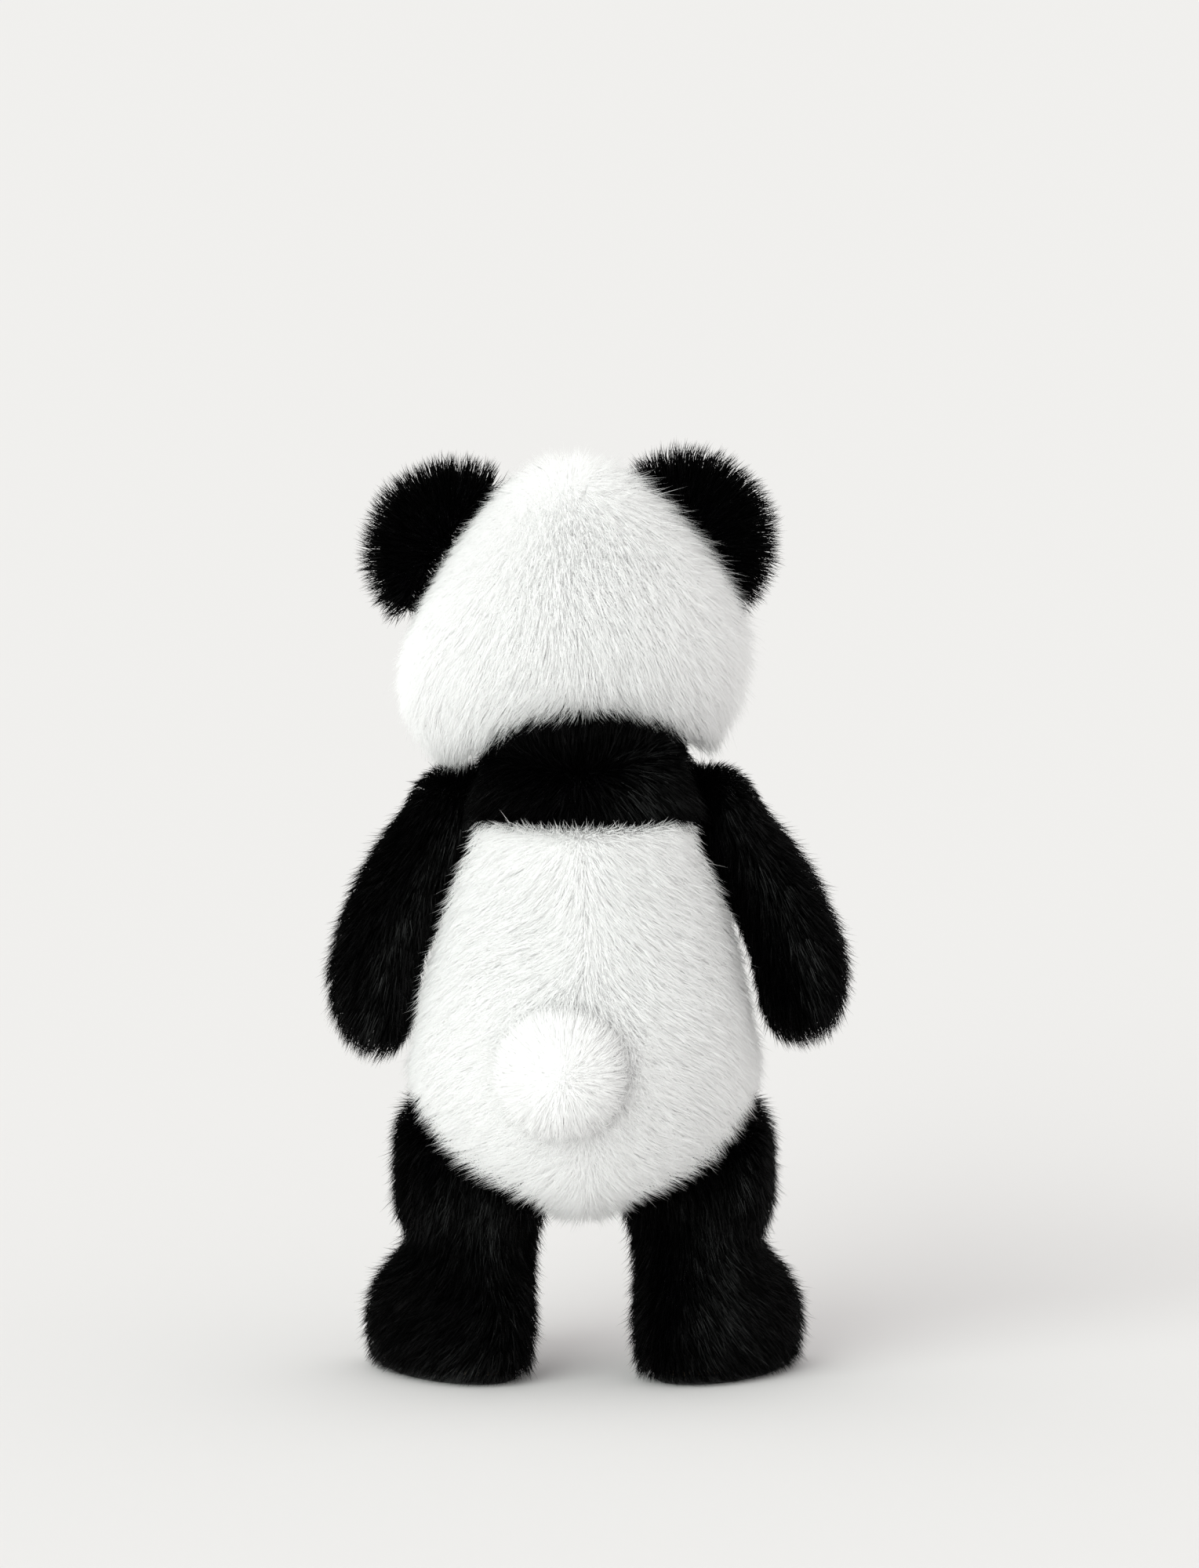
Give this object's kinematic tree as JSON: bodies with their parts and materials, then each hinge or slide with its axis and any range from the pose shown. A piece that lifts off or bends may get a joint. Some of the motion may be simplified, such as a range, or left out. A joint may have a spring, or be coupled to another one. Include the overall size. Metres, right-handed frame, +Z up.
{
  "type": "plush panda",
  "caption": "Standing soft toy panda sewn from long black and white pile panels over fibre stuffing, with a turning head and arms and legs that swing.",
  "frame": {"origin": "on the floor between the feet, straight below the neck's turning axis", "axes": "the toy faces -Y, its left side is +X, +Z is up, and it stands on Z = 0"},
  "size_m": [0.1623, 0.1454, 0.294],
  "materials": {
    "white_pile": "matte",
    "black_pile": "matte",
    "black_sole": "matte",
    "fibre_filling": "matte",
    "pellet_bag_cotton": "matte",
    "sole_board": "matte",
    "eye_gloss": "gloss",
    "nose_gloss": "satin",
    "washer_plastic": "satin",
    "mouth_thread": "satin"
  },
  "bodies": {
    "torso": {"yoke_back": "black_pile", "yoke_front": "black_pile", "back_panel_left": "white_pile", "back_panel_right": "white_pile", "belly_panel_left": "white_pile", "belly_panel_right": "white_pile", "torso_stuffing": "fibre_filling", "seat_pellet_bag": "pellet_bag_cotton", "tail_skin": "white_pile", "tail_stuffing": "fibre_filling"},
    "head": {"head_back_left": "white_pile", "head_back_right": "white_pile", "head_side_left": "white_pile", "head_side_right": "white_pile", "head_crown": "white_pile", "head_chin": "white_pile", "muzzle": "white_pile", "eye_patch_left": "black_pile", "eye_patch_right": "black_pile", "eye_left": "eye_gloss", "eye_right": "eye_gloss", "eye_washer_left": "washer_plastic", "eye_washer_right": "washer_plastic", "nose": "nose_gloss", "nose_washer": "washer_plastic", "mouth_stitching": "mouth_thread", "ear_left_back": "black_pile", "ear_left_front": "black_pile", "ear_left_wadding": "fibre_filling", "ear_right_back": "black_pile", "ear_right_front": "black_pile", "ear_right_wadding": "fibre_filling", "head_stuffing": "fibre_filling"},
    "arm_left": {"arm_left_outer": "black_pile", "arm_left_inner": "black_pile", "arm_left_stuffing": "fibre_filling"},
    "leg_left": {"leg_left_outer": "black_pile", "leg_left_inner": "black_pile", "leg_left_stuffing": "fibre_filling", "leg_left_pellet_bag": "pellet_bag_cotton", "leg_left_sole_board": "sole_board", "leg_left_sole": "black_sole"},
    "arm_right": {"arm_right_outer": "black_pile", "arm_right_inner": "black_pile", "arm_right_stuffing": "fibre_filling"},
    "leg_right": {"leg_right_outer": "black_pile", "leg_right_inner": "black_pile", "leg_right_stuffing": "fibre_filling", "leg_right_pellet_bag": "pellet_bag_cotton", "leg_right_sole_board": "sole_board", "leg_right_sole": "black_sole"}
  },
  "joints": [
    {"name": "neck_turn", "type": "hinge", "parent": "torso", "child": "head", "pos_m": [0, 0, 0.1765], "axis": [0, 0, 1], "range_deg": [-39, 31]},
    {"name": "shoulder_left", "type": "hinge", "parent": "torso", "child": "arm_left", "pos_m": [0.04, 0.002, 0.183], "axis": [-1, 0, 0], "range_deg": [-30, 85]},
    {"name": "shoulder_right", "type": "hinge", "parent": "torso", "child": "arm_right", "pos_m": [-0.04, 0.002, 0.183], "axis": [-1, 0, 0], "range_deg": [-30, 85]},
    {"name": "hip_left", "type": "hinge", "parent": "torso", "child": "leg_left", "pos_m": [0.036, -0.008, 0.068], "axis": [-1, 0, 0], "range_deg": [-20, 75]},
    {"name": "hip_right", "type": "hinge", "parent": "torso", "child": "leg_right", "pos_m": [-0.036, -0.008, 0.068], "axis": [-1, 0, 0], "range_deg": [-20, 75]}
  ]
}
